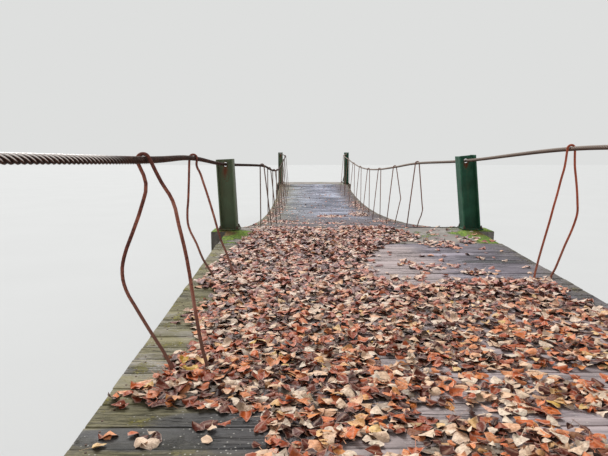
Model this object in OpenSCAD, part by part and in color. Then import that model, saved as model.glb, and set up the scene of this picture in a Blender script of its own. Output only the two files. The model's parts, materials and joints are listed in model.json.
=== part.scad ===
// Suspended timber footbridge. Two wire hand ropes run from anchor to anchor through green
// steel posts, and bent rod hangers looped over them carry a plank deck.
// The bridge runs along Y, X is across it and z = 0 is the level that the piers stand on.

/* [Spans] */
// Main span between post lines
main_span = 22230; // [18000:10:25000]
// Bays of the main span between hangers
main_bays = 9; // [7:1:11]
// Near span between post lines
near_span = 9800; // [8700:10:11300]
// First and last bay of the near span, from a post line to its nearest hanger
near_end_bay = 2820; // [2400:10:3200]
// Bays of the near span between its end bays
near_mid_bays = 2; // [1:1:3]

/* [Levels] */
// Top of the pier head above the ground
head_z = 2600; // [2200:10:3200]
// Level of the near abutment below the pier head
near_drop = 355; // [100:5:500]
// Level of the far abutment below the pier head
far_drop = 600; // [300:10:800]
// Sag of the main deck below the line between its ends
deck_sag = 620; // [400:10:700]

/* [Deck] */
// Width of the deck
deck_w = 3660; // [3300:10:4000]
// Thickness of the deck boards
board_t = 50; // [35:1:65]
// Width of a stringer
stringer_w = 80; // [60:1:100]
// Depth of a stringer
stringer_h = 140; // [110:1:180]
// Stringers side by side
stringer_rows = 5; // [3:2:5]
// Distance of the outer stringers from the edge of the deck
edge_inset = 80; // [60:1:90]
// Width of one leaf of a double crossbeam
beam_w = 70; // [55:1:90]
// Slot between the leaves, which the hangers pass through
beam_slot = 30; // [28:1:40]
// Depth of a crossbeam
beam_h = 160; // [130:1:200]
// Open joint between deck, stringers and concrete
joint = 10; // [6:1:16]
// Least depth of a stringer's notch over its support
notch = 2; // [1:1:6]

/* [Concrete] */
// Length of the pier head on the near side of its posts
head_near = 1100; // [900:10:1300]
// Length of the pier head behind the centre of its posts
head_behind = 180; // [160:5:220]
// Width of the sill that carries a pair of posts
sill_w = 4100; // [4060:10:4500]
// Length of the level sill in front of the centre of its posts
sill_near = 250; // [200:5:300]
// Width of the ledge that carries the ends of the stringers
ledge_w = 360; // [320:10:450]
// Length of an abutment behind its posts
tail = 2150; // [2100:10:2400]

/* [Sleepers] */
// Width of a bearing sleeper on a ledge
sleeper_w = 200; // [150:5:240]
// Depth of a bearing sleeper
sleeper_h = 110; // [80:5:150]

/* [Posts] */
// Overall width and depth of the H-section
post_w = 240; // [200:5:260]
// Thickness of the flanges
flange_t = 17; // [12:1:22]
// Thickness of the web
web_t = 10; // [8:1:14]
// Radius of the fillets between web and flanges
root_r = 21; // [12:1:27]
// Bare web above the rope hole
post_over = 75; // [55:1:110]
// Width of a base plate
plate_w = 300; // [280:5:340]
// Thickness of a base plate
plate_t = 16; // [12:1:25]
// Distance of the post feet inside the edge of the deck
post_inset = 30; // [10:5:60]
// The same distance at the right pier post
inset_right = 65; // [10:5:80]
// Lean of the right pier post towards the deck, in degrees
lean_right = 6; // [0:0.5:8]
// Lean of the left pier post away from the deck, in degrees
lean_left = 2.7; // [0:0.1:5]

/* [Hand ropes] */
// Diameter of the wire ropes
rope_d = 44; // [36:1:50]
// Clearance round the rope in a post
rope_clear = 9; // [6:1:14]
// Rope above the pier head, at the left pier post
rope_left = 948; // [850:1:1000]
// Rope above the pier head, at the right pier post
rope_right = 1000; // [900:1:1100]
// Rope above the pier head, at the near end posts
rope_near = 1100; // [1000:5:1200]
// Rope above the pier head, at the far posts
rope_far = 1040; // [950:5:1150]
// Sag of the rope at the middle of the main span
rope_sag = 450; // [350:5:520]
// How far the ropes are drawn in over the main deck, from the edge of the deck
rope_draw = 350; // [250:5:400]

/* [Hangers] */
// Diameter of the hanger rods
rod_d = 22; // [18:1:24]
// Clearance between a hanger's loop and the rope
loop_clear = 1.6; // [1.2:0.1:3]
// Outer foot of a main hanger, inside the edge of the deck
foot_out = 315; // [280:5:330]
// Inner foot of a main hanger, inside the edge of the deck
foot_in = 520; // [480:5:560]
// Height of a leg's last bend above the deck
bend_z = 25; // [10:1:50]
// Rod standing out below its nut
rod_end = 12; // [6:1:20]
// Side of the square washers under the crossbeams
washer_w = 100; // [90:1:120]
// Thickness of the washers
washer_t = 12; // [8:1:16]
// Width across the flats of the nuts
nut_w = 34; // [30:1:40]
// Thickness of the nuts
nut_t = 18; // [14:1:24]

/* [Anchors] */
// Distance of an anchor pin behind its posts
stay_run = 1750; // [1500:10:1900]
// Height of an anchor pin above its abutment
pin_h = 115; // [105:1:140]
// Diameter of an anchor pin
pin_d = 40; // [30:1:44]
// Outer diameter of a socket eye
eye_d = 96; // [84:1:110]
// Width of a socket eye
eye_w = 44; // [36:1:50]
// Length of a rope socket from its pin
socket_len = 290; // [240:5:340]
// Wall of a socket round the rope where it enters
socket_wall = 6; // [4:1:10]
// Thickness of the cheek plates
cheek_t = 20; // [14:1:26]
// Clearance of a socket on its pin and between its cheeks
seat = 0.3; // [0.2:0.1:0.5]

/* [Hidden] */
$fn = 32;

concrete_grey = [0.60, 0.59, 0.55];
timber_grey = [0.52, 0.50, 0.49];
beam_brown = [0.36, 0.31, 0.27];
post_green = [0.13, 0.30, 0.22];
rust_brown = [0.38, 0.25, 0.19];
rod_rust = [0.47, 0.24, 0.18];

half_deck = deck_w / 2;
// the origin lies half-way along the bridge, so stations are shifted by this much
mid_y = (main_span - near_span) / 2;

// The line of the deck as [y, z] points of its top, straight from each point to the next
fall = near_drop / (near_span - head_near - sill_near);
near_mid_bay = (near_span - 2 * near_end_bay) / near_mid_bays;
function near_z(y) = head_z + fall * (y + sill_near);
near_stations = [for (i = [0 : near_mid_bays]) near_end_bay - near_span + i * near_mid_bay];
near_edge = head_near - near_span;
near_line = [
    [near_edge, near_z(near_edge)],
    for (y = near_stations) [y, near_z(y)],
    [-head_near, near_z(-head_near)]
];
near_top = near_z(near_edge);
far_top = head_z - far_drop;

main_bay = main_span / main_bays;
function main_z(y) =
    let (t = y / main_span) head_z - far_drop * t - 4 * deck_sag * t * (1 - t);
main_line = [
    [head_behind, head_z],
    for (i = [1 : main_bays - 1]) [i * main_bay, main_z(i * main_bay)],
    [main_span - head_behind, far_top]
];

// Levels of the timbers under the deck. A stringer is notched level over each beam, and the
// notch is deep enough for the steeper of the two slopes that meet there.
beam_half = beam_w + beam_slot / 2;
function last(line) = len(line) - 1;
function slope(line, i) = (line[i + 1][1] - line[i][1]) / (line[i + 1][0] - line[i][0]);
function rise_from(line, i) =
    max(0, i > 0 ? -slope(line, i - 1) : 0, i < last(line) ? slope(line, i) : 0);
function seat_len(line, i) = i == 0 || i == last(line) ? sleeper_w + 2 * joint : beam_half;
function seat_z(line, i) =
    line[i][1] - board_t - stringer_h + rise_from(line, i) * seat_len(line, i) + notch;
function beam_foot(line, i) = seat_z(line, i) - beam_h;
function ledge_z(line, i) = seat_z(line, i) - sleeper_h;

stringer_pitch = 2 * (half_deck - edge_inset) / (stringer_rows - 1);
beam_len = deck_w - 2 * edge_inset;

// Posts: [side, station, level of the foot, rope above the pier head, lean towards +X]
pier_left_x = -(half_deck - post_inset);
pier_right_x = half_deck - inset_right;
function post_hole_x(foot_x, foot_z, rope_z, lean) = foot_x + tan(lean) * (rope_z - foot_z);
left_hole_x = post_hole_x(pier_left_x, head_z, head_z + rope_left, -lean_left);
right_hole_x = post_hole_x(pier_right_x, head_z, head_z + rope_right, -lean_right);

// Hand ropes: how far a rope lies out from the deck edge, and how high above the pier head,
// at the hangers of the near span, from the pier outwards
left_near_out = [-57, -170, 0];
left_near_z = [1066, 1078, 1110];
right_near_out = [-20, -20, 0];
right_near_z = [1155, 1145, 1125];
// the rope's drop at the hangers of the main span, as a share of its sag: the stiff rope
// stays high beside the posts
function sag_share(t) = pow(sin(180 * t), 1.5);
function main_rope_z(t, start) = head_z + start + (rope_far - start) * t - rope_sag * sag_share(t);

function pick(list, i) = list[min(i, len(list) - 1)];
near_rope_y = [for (i = [0 : near_mid_bays]) -near_end_bay - i * near_mid_bay];

// one rope as [x, y, z] through its stations, from the near post to the far post
function rope_stations(side, start, hole_x, outs, heights) = [
    [side * (half_deck - post_inset), -near_span, head_z + rope_near],
    for (i = [near_mid_bays : -1 : 0])
        [side * (half_deck + pick(outs, i)), near_rope_y[i], head_z + pick(heights, i)],
    [hole_x, 0, head_z + start],
    for (i = [1 : main_bays - 1])
        [side * (half_deck - rope_draw), i * main_bay, main_rope_z(i / main_bays, start)],
    [side * (half_deck - post_inset), main_span, head_z + rope_far]
];
left_stations = rope_stations(-1, rope_left, left_hole_x, left_near_out, left_near_z);
right_stations = rope_stations(1, rope_right, right_hole_x, right_near_out, right_near_z);

// anchor pins, and the direction of each stay from its pin to its post
near_pin = [-near_span - stay_run, near_top + pin_h];
far_pin = [main_span + stay_run, far_top + pin_h];
near_stay_angle = atan2(head_z + rope_near - near_pin[1], stay_run);
far_stay_angle = atan2(head_z + rope_far - far_pin[1], stay_run);

// a smooth curve through the points, with steps pieces between each two
function curve_point(a, b, c, d, t) =
    0.5 * (2 * b + (c - a) * t + (2 * a - 5 * b + 4 * c - d) * t * t
        + (3 * b - a - 3 * c + d) * t * t * t);
function curve(points, steps) = [
    for (i = [0 : len(points) - 2])
        let (a = points[max(i - 1, 0)], b = points[i], c = points[i + 1],
            d = points[min(i + 2, len(points) - 1)])
        for (k = [0 : steps - 1]) curve_point(a, b, c, d, k / steps),
    points[len(points) - 1]
];
rope_steps = 5;
stay_steps = 3;
stay_ease = 60;
function stay_point(x, pin, angle, way, reach) =
    [x, pin[0] + way * reach * cos(angle), pin[1] + reach * sin(angle)];
function rope_path(stations) =
    let (
        x0 = stations[0][0],
        x1 = stations[len(stations) - 1][0],
        near_len = stay_run / cos(near_stay_angle) - stay_ease,
        far_len = stay_run / cos(far_stay_angle) - stay_ease
    ) [
        for (k = [0 : stay_steps])
            stay_point(x0, near_pin, near_stay_angle, 1,
                socket_len + (near_len - socket_len) * k / stay_steps),
        each curve(stations, rope_steps),
        for (k = [stay_steps : -1 : 0])
            stay_point(x1, far_pin, far_stay_angle, -1,
                socket_len + (far_len - socket_len) * k / stay_steps)
    ];

// Hangers of the near span, each bent in its own way. Each leg is a list from the rope down
// of [out from the deck edge, height above the deck].
left_1_out = [[-11, 973], [5, 700], [15, 575], [-126, 203], [-224, bend_z]];
left_1_in = [[-88, 1104], [-149, 935], [-189, 813], [-303, 392], [-384, 168], [-419, bend_z]];
left_2_out = [[-180, 1139], [-123, 936], [-21, 610], [-37, 513], [-144, 324], [-291, bend_z]];
left_2_in = [[-268, 1148], [-338, 1012], [-401, 705], [-439, 415], [-508, bend_z]];
right_1_out = [
    [25, 1103], [43, 990], [62, 865], [80, 656], [70, 593], [27, 456], [-63, 210], [-135, bend_z]
];
right_1_in = [[-77, 1082], [-124, 834], [-185, 551], [-244, 307], [-300, bend_z]];
plain_out = [[-40, 800], [-230, bend_z]];
plain_in = [[-180, 800], [-410, bend_z]];
// Hangers of the main span: straight legs, but the outer ones of the first two on the right
// are bowed outwards
main_out = [[-foot_out, bend_z]];
main_in = [[-foot_in, bend_z]];
bowed_out = [
    [[-224, 330], [-foot_out, bend_z]],
    [[-195, 600], [-foot_out, bend_z]]
];

function unit(v) = v / norm(v);

// a round bar or rope along a path, as a ring at each point skinned into a tube; flat is a
// direction that the path never runs along
module tube(path, d, sides, flat) {
    n = len(path);
    rings = [
        for (i = [0 : n - 1])
            let (
                into = unit(path[max(i, 1)] - path[max(i, 1) - 1]),
                out = unit(path[min(i, n - 2) + 1] - path[min(i, n - 2)]),
                way = unit(into + out),
                u = unit(cross(way, flat)),
                v = cross(u, way)
            )
            for (k = [0 : sides - 1])
                path[i] + d / 2 * (u * cos(360 * k / sides) + v * sin(360 * k / sides))
    ];
    skin = [
        for (i = [0 : n - 2])
            for (k = [0 : sides - 1])
                let (a = i * sides + k, b = i * sides + (k + 1) % sides)
                    each [[a, b, a + sides], [b, b + sides, a + sides]]
    ];
    first_end = [for (k = [sides - 1 : -1 : 0]) k];
    last_end = [for (k = [0 : sides - 1]) (n - 1) * sides + k];
    polyhedron(points = rings, faces = concat(skin, [first_end, last_end]));
}

// Hangers: one rod looped over the rope, its two legs drawn down tangent to the loop
loop_steps = 8;
loop_r = ((rope_d + rod_d) / 2 + loop_clear) / cos(90 / loop_steps);
rod_sides = 8;

// where a leg from point p leaves the loop round c: way is 1 on the outer side, -1 on the inner
function leave_angle(c, p, way) =
    atan2(p[1] - c[1], p[0] - c[0]) + way * acos(loop_r / norm(p - c));

// a washer that bears on both leaves of the crossbeam, and its nut
module foot(out, under_z) {
    translate([out - washer_w / 2, -washer_w / 2, under_z - washer_t])
        cube([washer_w, washer_w, washer_t]);
    translate([out, 0, under_z - washer_t - nut_t])
        cylinder(h = nut_t, d = nut_w / cos(30), $fn = 6);
}

// a hanger in its own cross-section. rope is the rope's centre and the legs are lists of
// points, all as [out from the middle of the deck, height]
module hanger(rope, out_leg, in_leg, under_z) {
    end_z = under_z - washer_t - nut_t - rod_end;
    out_foot = out_leg[len(out_leg) - 1];
    in_foot = in_leg[len(in_leg) - 1];
    from = leave_angle(rope, out_leg[0], 1);
    to = 360 + leave_angle(rope, in_leg[0], -1);
    points = [
        [out_foot[0], end_z],
        for (i = [len(out_leg) - 1 : -1 : 0]) out_leg[i],
        for (k = [0 : loop_steps])
            let (a = from + (to - from) * k / loop_steps)
                rope + loop_r * [cos(a), sin(a)],
        for (p = in_leg) p,
        [in_foot[0], end_z]
    ];
    tube([for (p = points) [p[0], 0, p[1]]], rod_d, rod_sides, [0, 1, 0]);
    foot(out_foot[0], under_z);
    foot(in_foot[0], under_z);
}

// stands a hanger at a point of the deck's line, on one side; the legs come as
// [out from the deck edge, height above the deck]
module hanger_at(side, line, i, rope, out_leg, in_leg) {
    edge = [half_deck, line[i][1]];
    translate([0, line[i][0], 0])
        mirror([side < 0 ? 1 : 0, 0, 0])
            hanger([side * rope[0], rope[2]], [for (p = out_leg) edge + p],
                [for (p = in_leg) edge + p], beam_foot(line, i));
}

module near_hanger(side, i, out_leg, in_leg, stations) {
    line_i = near_mid_bays + 1 - i;
    color(rod_rust)
        hanger_at(side, near_line, line_i, stations[line_i], out_leg, in_leg);
}

module main_hangers(side, stations) {
    first = near_mid_bays + 2;
    color(rod_rust)
        for (i = [1 : main_bays - 1])
            hanger_at(side, main_line, i, stations[first + i],
                side > 0 && i <= len(bowed_out) ? bowed_out[i - 1] : main_out, main_in);
}

// an outline in the plane of the bridge's side, extruded across the bridge
module across(width) {
    rotate([90, 0, 90])
        translate([0, 0, -width / 2])
            linear_extrude(width)
                children();
}

// the deck of one span, a slab for each bay, with a slot at each hanger
module deck(line) {
    color(timber_grey)
        across(deck_w)
            for (i = [0 : last(line) - 1]) {
                a = line[i][0] + (i == 0 ? joint : beam_slot / 2);
                b = line[i + 1][0] - (i == last(line) - 1 ? joint : beam_slot / 2);
                za = line[i][1] + slope(line, i) * (a - line[i][0]);
                zb = line[i][1] + slope(line, i) * (b - line[i][0]);
                polygon([[a, za - board_t], [b, zb - board_t], [b, zb], [a, za]]);
            }
}

// the stringers of one span: a beam for each bay and row, notched level over its supports
module stringers(line) {
    color(beam_brown)
        for (row = [0 : stringer_rows - 1])
            translate([row * stringer_pitch - half_deck + edge_inset, 0, 0])
                across(stringer_w)
                    for (i = [0 : last(line) - 1]) {
                        a = line[i][0] + (i == 0 ? joint : joint / 2);
                        b = line[i + 1][0] - (i == last(line) - 1 ? joint : joint / 2);
                        a_in = line[i][0] + seat_len(line, i);
                        b_in = line[i + 1][0] - seat_len(line, i + 1);
                        top = line[i][1] - board_t - slope(line, i) * line[i][0];
                        under = top - stringer_h;
                        polygon([
                            [a, seat_z(line, i)], [a_in, seat_z(line, i)],
                            [a_in, under + slope(line, i) * a_in],
                            [b_in, under + slope(line, i) * b_in],
                            [b_in, seat_z(line, i + 1)], [b, seat_z(line, i + 1)],
                            [b, top + slope(line, i) * b], [a, top + slope(line, i) * a]
                        ]);
                    }
}

// the crossbeams of one span: two leaves at each hanger, with the slot between them
module crossbeams(line) {
    color(beam_brown)
        for (i = [1 : last(line) - 1])
            for (way = [-1, 1])
                translate([
                    -beam_len / 2,
                    line[i][0] + way * (beam_w + beam_slot) / 2 - beam_w / 2,
                    beam_foot(line, i)
                ])
                    cube([beam_len, beam_w, beam_h]);
}

module sleeper(line, i, way) {
    translate([
        -beam_len / 2,
        line[i][0] + way * (joint + sleeper_w / 2) - sleeper_w / 2,
        ledge_z(line, i)
    ])
        cube([beam_len, sleeper_w, sleeper_h]);
}

module bearing_sleepers() {
    color(beam_brown) {
        sleeper(near_line, 0, 1);
        sleeper(near_line, last(near_line), -1);
        sleeper(main_line, 0, 1);
        sleeper(main_line, last(main_line), -1);
    }
}

module near_abutment() {
    color(concrete_grey)
        across(sill_w)
            polygon([
                [-near_span - tail, 0], [near_edge + ledge_w, 0],
                [near_edge + ledge_w, ledge_z(near_line, 0)],
                [near_edge, ledge_z(near_line, 0)],
                [near_edge, near_top], [-near_span - tail, near_top]
            ]);
}

module far_abutment() {
    edge = main_span - head_behind;
    ledge = ledge_z(main_line, last(main_line));
    color(concrete_grey)
        across(sill_w)
            polygon([
                [main_span + tail, 0], [edge - ledge_w, 0], [edge - ledge_w, ledge],
                [edge, ledge], [edge, far_top], [main_span + tail, far_top]
            ]);
}

near_ledge = ledge_z(near_line, last(near_line));
far_ledge = ledge_z(main_line, 0);
head_foot = min(near_ledge, far_ledge);

module pier_shaft() {
    color(concrete_grey)
        across(deck_w)
            polygon([
                [-head_near - ledge_w, 0], [head_behind + ledge_w, 0],
                [head_behind + ledge_w, far_ledge], [head_behind, far_ledge],
                [head_behind, head_foot], [-head_near, head_foot],
                [-head_near, near_ledge], [-head_near - ledge_w, near_ledge]
            ]);
}

// the head's top follows the near deck, and its level sill stands out under the posts
module pier_head() {
    color(concrete_grey) {
        across(deck_w)
            polygon([
                [-head_near, head_foot], [head_behind, head_foot], [head_behind, head_z],
                [-sill_near, head_z], [-head_near, near_z(-head_near)]
            ]);
        translate([-sill_w / 2, -sill_near, head_foot])
            cube([sill_w, sill_near + head_behind, head_z - head_foot]);
    }
}

// the rolled H-section: flanges to left and right, a web between them, and root fillets
module h_section() {
    for (way = [-1, 1])
        translate([way * (post_w - flange_t) / 2, 0])
            square([flange_t, post_w], center = true);
    square([post_w - flange_t, web_t], center = true);
    for (x = [-1, 1], y = [-1, 1])
        at_root(x, y)
            difference() {
                translate([-root_r, -1]) square(root_r + 1);
                translate([-root_r, root_r]) circle(root_r);
            }
}

// moves a fillet drawn at the corner of the web and the right flange to one of the four
module at_root(x, y) {
    mirror([x < 0 ? 1 : 0, 0])
        mirror([0, y < 0 ? 1 : 0])
            translate([post_w / 2 - flange_t, web_t / 2])
                children();
}

// an H-section with its web across the bridge, holed for the rope, on a level base plate
module post(foot_x, station, foot_z, hole_z, lean) {
    hole = (hole_z - foot_z) / cos(lean);
    sunk = 60;
    color(post_green)
        translate([foot_x, station, foot_z]) {
            difference() {
                rotate([0, lean, 0])
                    difference() {
                        translate([0, 0, -sunk])
                            linear_extrude(hole + post_over + sunk) h_section();
                        translate([0, 0, hole])
                            rotate([90, 0, 0])
                                cylinder(h = post_w, d = rope_d + 2 * rope_clear, center = true);
                    }
                translate([-post_w, -post_w, -2 * sunk])
                    cube([2 * post_w, 2 * post_w, 2 * sunk + plate_t / 2]);
            }
            translate([-plate_w / 2, -plate_w / 2, 0])
                cube([plate_w, plate_w, plate_t]);
        }
}

rope_sides = 10;
module hand_rope(stations) {
    color(rust_brown) tube(rope_path(stations), rope_d, rope_sides, [0, 0, 1]);
}

// a bracket of two cheeks that holds the pin, bolted down on an abutment
module anchor(x, pin) {
    gap = eye_w + 2 * seat;
    across_w = gap + 2 * cheek_t;
    foot_l = 260;
    color(post_green)
        translate([x, pin[0], pin[1]]) {
            for (way = [-1, 1])
                translate([way * (gap + cheek_t) / 2, 0, 0]) {
                    rotate([0, 90, 0]) cylinder(h = cheek_t, d = eye_d, center = true);
                    translate([-cheek_t / 2, -eye_d / 2, plate_t / 2 - pin_h])
                        cube([cheek_t, eye_d, pin_h - plate_t / 2]);
                }
            rotate([0, 90, 0]) cylinder(h = across_w + cheek_t, d = pin_d, center = true);
            translate([-foot_l / 2, -foot_l / 2, -pin_h])
                cube([foot_l, foot_l, plate_t]);
        }
}

// the forged socket at a rope's end: an eye round the pin, a neck and a cone
module socket(x, pin, angle, way) {
    cone_at = 0.4 * socket_len;
    color(rust_brown)
        translate([x, pin[0], pin[1]])
            rotate([way > 0 ? angle : 180 - angle, 0, 0])
                difference() {
                    union() {
                        rotate([0, 90, 0]) cylinder(h = eye_w, d = eye_d, center = true);
                        rotate([-90, 0, 0]) cylinder(h = cone_at, d = eye_w);
                        translate([0, cone_at, 0])
                            rotate([-90, 0, 0])
                                cylinder(h = socket_len - cone_at, d1 = 2 * eye_w,
                                    d2 = rope_d + 2 * socket_wall);
                    }
                    rotate([0, 90, 0])
                        cylinder(h = 2 * eye_w, d = pin_d + 2 * seat, center = true);
                }
}

near_left_x = left_stations[0][0];
near_right_x = right_stations[0][0];
far_left_x = left_stations[len(left_stations) - 1][0];
far_right_x = right_stations[len(right_stations) - 1][0];
rope_near_z = head_z + rope_near;
rope_far_z = head_z + rope_far;

// stands a piece in its place along the bridge
module place() {
    translate([0, -mid_y, 0]) children();
}

place() near_abutment();
place() pier_shaft();
place() pier_head();
place() far_abutment();
place() bearing_sleepers();
place() deck(near_line);  // near_deck
place() deck(main_line);  // main_deck
place() stringers(near_line);  // near_stringers
place() stringers(main_line);  // main_stringers
place() crossbeams(near_line);  // near_crossbeams
place() crossbeams(main_line);  // main_crossbeams
place() post(near_left_x, -near_span, near_top, rope_near_z, 0);  // near_post_left
place() post(near_right_x, -near_span, near_top, rope_near_z, 0);  // near_post_right
place() post(pier_left_x, 0, head_z, head_z + rope_left, -lean_left);  // pier_post_left
place() post(pier_right_x, 0, head_z, head_z + rope_right, -lean_right);  // pier_post_right
place() post(far_left_x, main_span, far_top, rope_far_z, 0);  // far_post_left
place() post(far_right_x, main_span, far_top, rope_far_z, 0);  // far_post_right
place() hand_rope(left_stations);  // hand_rope_left
place() hand_rope(right_stations);  // hand_rope_right
place() near_hanger(-1, 0, left_1_out, left_1_in, left_stations);  // near_hanger_left_1
place() near_hanger(-1, 1, left_2_out, left_2_in, left_stations);  // near_hanger_left_2
place() near_hanger(-1, 2, plain_out, plain_in, left_stations);  // near_hanger_left_3
place() near_hanger(1, 0, right_1_out, right_1_in, right_stations);  // near_hanger_right_1
place() near_hanger(1, 1, plain_out, plain_in, right_stations);  // near_hanger_right_2
place() near_hanger(1, 2, plain_out, plain_in, right_stations);  // near_hanger_right_3
place() main_hangers(-1, left_stations);  // main_hangers_left
place() main_hangers(1, right_stations);  // main_hangers_right
place() anchor(near_left_x, near_pin);  // near_anchor_left
place() anchor(near_right_x, near_pin);  // near_anchor_right
place() anchor(far_left_x, far_pin);  // far_anchor_left
place() anchor(far_right_x, far_pin);  // far_anchor_right
place() socket(near_left_x, near_pin, near_stay_angle, 1);  // near_socket_left
place() socket(near_right_x, near_pin, near_stay_angle, 1);  // near_socket_right
place() socket(far_left_x, far_pin, far_stay_angle, -1);  // far_socket_left
place() socket(far_right_x, far_pin, far_stay_angle, -1);  // far_socket_right
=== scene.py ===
"""Looks of a suspended timber footbridge: weathered boards under fallen leaves, rusty wire hand
ropes and bent rod hangers, green steel posts and mossy concrete piers."""

import json
import math
import random
from contextlib import contextmanager

import bpy
import numpy as np
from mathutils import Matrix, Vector

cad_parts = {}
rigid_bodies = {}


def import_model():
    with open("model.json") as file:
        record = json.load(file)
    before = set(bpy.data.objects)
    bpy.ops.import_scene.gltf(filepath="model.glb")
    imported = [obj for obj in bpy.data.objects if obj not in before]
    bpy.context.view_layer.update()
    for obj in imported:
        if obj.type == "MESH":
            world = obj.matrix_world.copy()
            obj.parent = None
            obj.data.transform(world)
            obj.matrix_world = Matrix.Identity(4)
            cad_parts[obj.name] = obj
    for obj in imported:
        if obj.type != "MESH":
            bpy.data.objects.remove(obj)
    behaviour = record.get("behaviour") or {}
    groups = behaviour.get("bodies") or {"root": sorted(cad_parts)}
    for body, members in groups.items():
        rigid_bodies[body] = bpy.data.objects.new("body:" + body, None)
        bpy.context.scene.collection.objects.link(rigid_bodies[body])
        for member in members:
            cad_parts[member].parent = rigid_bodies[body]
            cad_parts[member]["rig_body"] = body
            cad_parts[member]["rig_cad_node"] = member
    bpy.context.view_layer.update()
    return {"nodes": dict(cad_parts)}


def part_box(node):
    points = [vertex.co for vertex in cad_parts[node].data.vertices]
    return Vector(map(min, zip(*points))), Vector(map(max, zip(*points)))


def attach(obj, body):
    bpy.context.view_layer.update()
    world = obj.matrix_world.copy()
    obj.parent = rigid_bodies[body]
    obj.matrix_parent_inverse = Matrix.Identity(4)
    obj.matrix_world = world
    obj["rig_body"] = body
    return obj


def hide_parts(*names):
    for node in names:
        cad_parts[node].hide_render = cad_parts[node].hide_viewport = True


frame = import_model()
bpy.ops.object.select_all(action="DESELECT")
chance = random.Random(11)


# The view: the camera stands over the near deck, left of its middle, and looks along the bridge
# and slightly down. Stations are metres along the bridge from the pier's posts.
PIER_Y = (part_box("pier_post_left")[0].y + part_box("pier_post_left")[1].y) / 2
PIER_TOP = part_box("pier_head")[1].z
# The near deck falls this much a metre, beginning this far on the near side of the pier's posts
DECK_FALL = 0.042
SILL_NEAR = 0.25
EYE_STATION = -8.07
EYE_ABOVE_DECK = 1.45
EYE_OFF_CENTRE = -0.769
LOOK_DOWN = math.radians(7.83)
LOOK_RIGHT = math.radians(0.48)

deck_at_eye = PIER_TOP + DECK_FALL * (EYE_STATION + SILL_NEAR)
bpy.ops.object.camera_add(
    location=(EYE_OFF_CENTRE, PIER_Y + EYE_STATION, deck_at_eye + EYE_ABOVE_DECK),
    rotation=(math.pi / 2 - LOOK_DOWN, 0, -LOOK_RIGHT),
)
camera = bpy.context.object
camera.data.lens = 32.57
camera.data.sensor_width = 36
camera.data.clip_start = 0.05
camera.data.clip_end = 400
bpy.context.scene.camera = camera


# The studio: a wide pale floor at the level that the piers stand on, a pale surround that only
# the camera and reflections see, soft light from the whole sky and one large soft lamp.
class Socket:
    """One output in a tree of nodes. A sum on it adds the Math nodes that work it out."""

    def __init__(self, tree, link):
        self.tree = tree
        self.link = link

    def maths(self, operation, *values):
        return self.tree.node("ShaderNodeMath", dict(enumerate(values)), operation=operation)

    def __add__(self, other):
        return self.maths("ADD", self, other)

    def __radd__(self, other):
        return self.maths("ADD", other, self)

    def __sub__(self, other):
        return self.maths("SUBTRACT", self, other)

    def __rsub__(self, other):
        return self.maths("SUBTRACT", other, self)

    def __mul__(self, other):
        return self.maths("MULTIPLY", self, other)

    def __abs__(self):
        return self.maths("ABSOLUTE", self)

    def either(self, other):
        return self.maths("MAXIMUM", self, other)

    def rise(self, low, high):
        """0 at low and 1 at high, with a smooth rise between them. High may be the smaller."""
        return self.tree.node(
            "ShaderNodeMapRange",
            {"Value": self, "From Min": low, "From Max": high},
            interpolation_type="SMOOTHSTEP",
        )

    def ramp(self, *stops):
        """Colours along this number. Each stop is the number, then red, green and blue."""
        return self.tree.node("ShaderNodeValToRGB", {0: self}, stops=stops)

    def axis(self, name):
        return self.tree.node("ShaderNodeSeparateXYZ", {0: self}, out=name)

    def vector_maths(self, operation, first, second):
        values = dict(zip((0, "Scale" if operation == "SCALE" else 1), (first, second)))
        return self.tree.node("ShaderNodeVectorMath", values, operation=operation)

    def moved(self, amount, way):
        """This place moved along a fixed way by an amount."""
        return self.vector_maths("ADD", self, self.vector_maths("SCALE", way, amount))

    def noise(self, scale, detail=4, rough=0.55, twist=0):
        """Clouds at this place. Three scales, one for each axis, draw them out along the least."""
        place = self
        if isinstance(scale, tuple):
            place = self.vector_maths("MULTIPLY", self, scale)
            scale = 1
        values = {"Vector": place, "Scale": scale, "Detail": detail, "Roughness": rough}
        return self.tree.node("ShaderNodeTexNoise", {**values, "Distortion": twist})


def paint(colour):
    """A colour as a screen shows it, each part from 0 to 255, turned into what a shader takes.
    What comes out of a node is passed on as it is."""
    if isinstance(colour, Socket):
        return colour
    seen = [channel / 255 for channel in colour]
    light = [c / 12.92 if c < 0.04045 else ((c + 0.055) / 1.055) ** 2.4 for c in seen]
    return (*light, 1)


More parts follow.
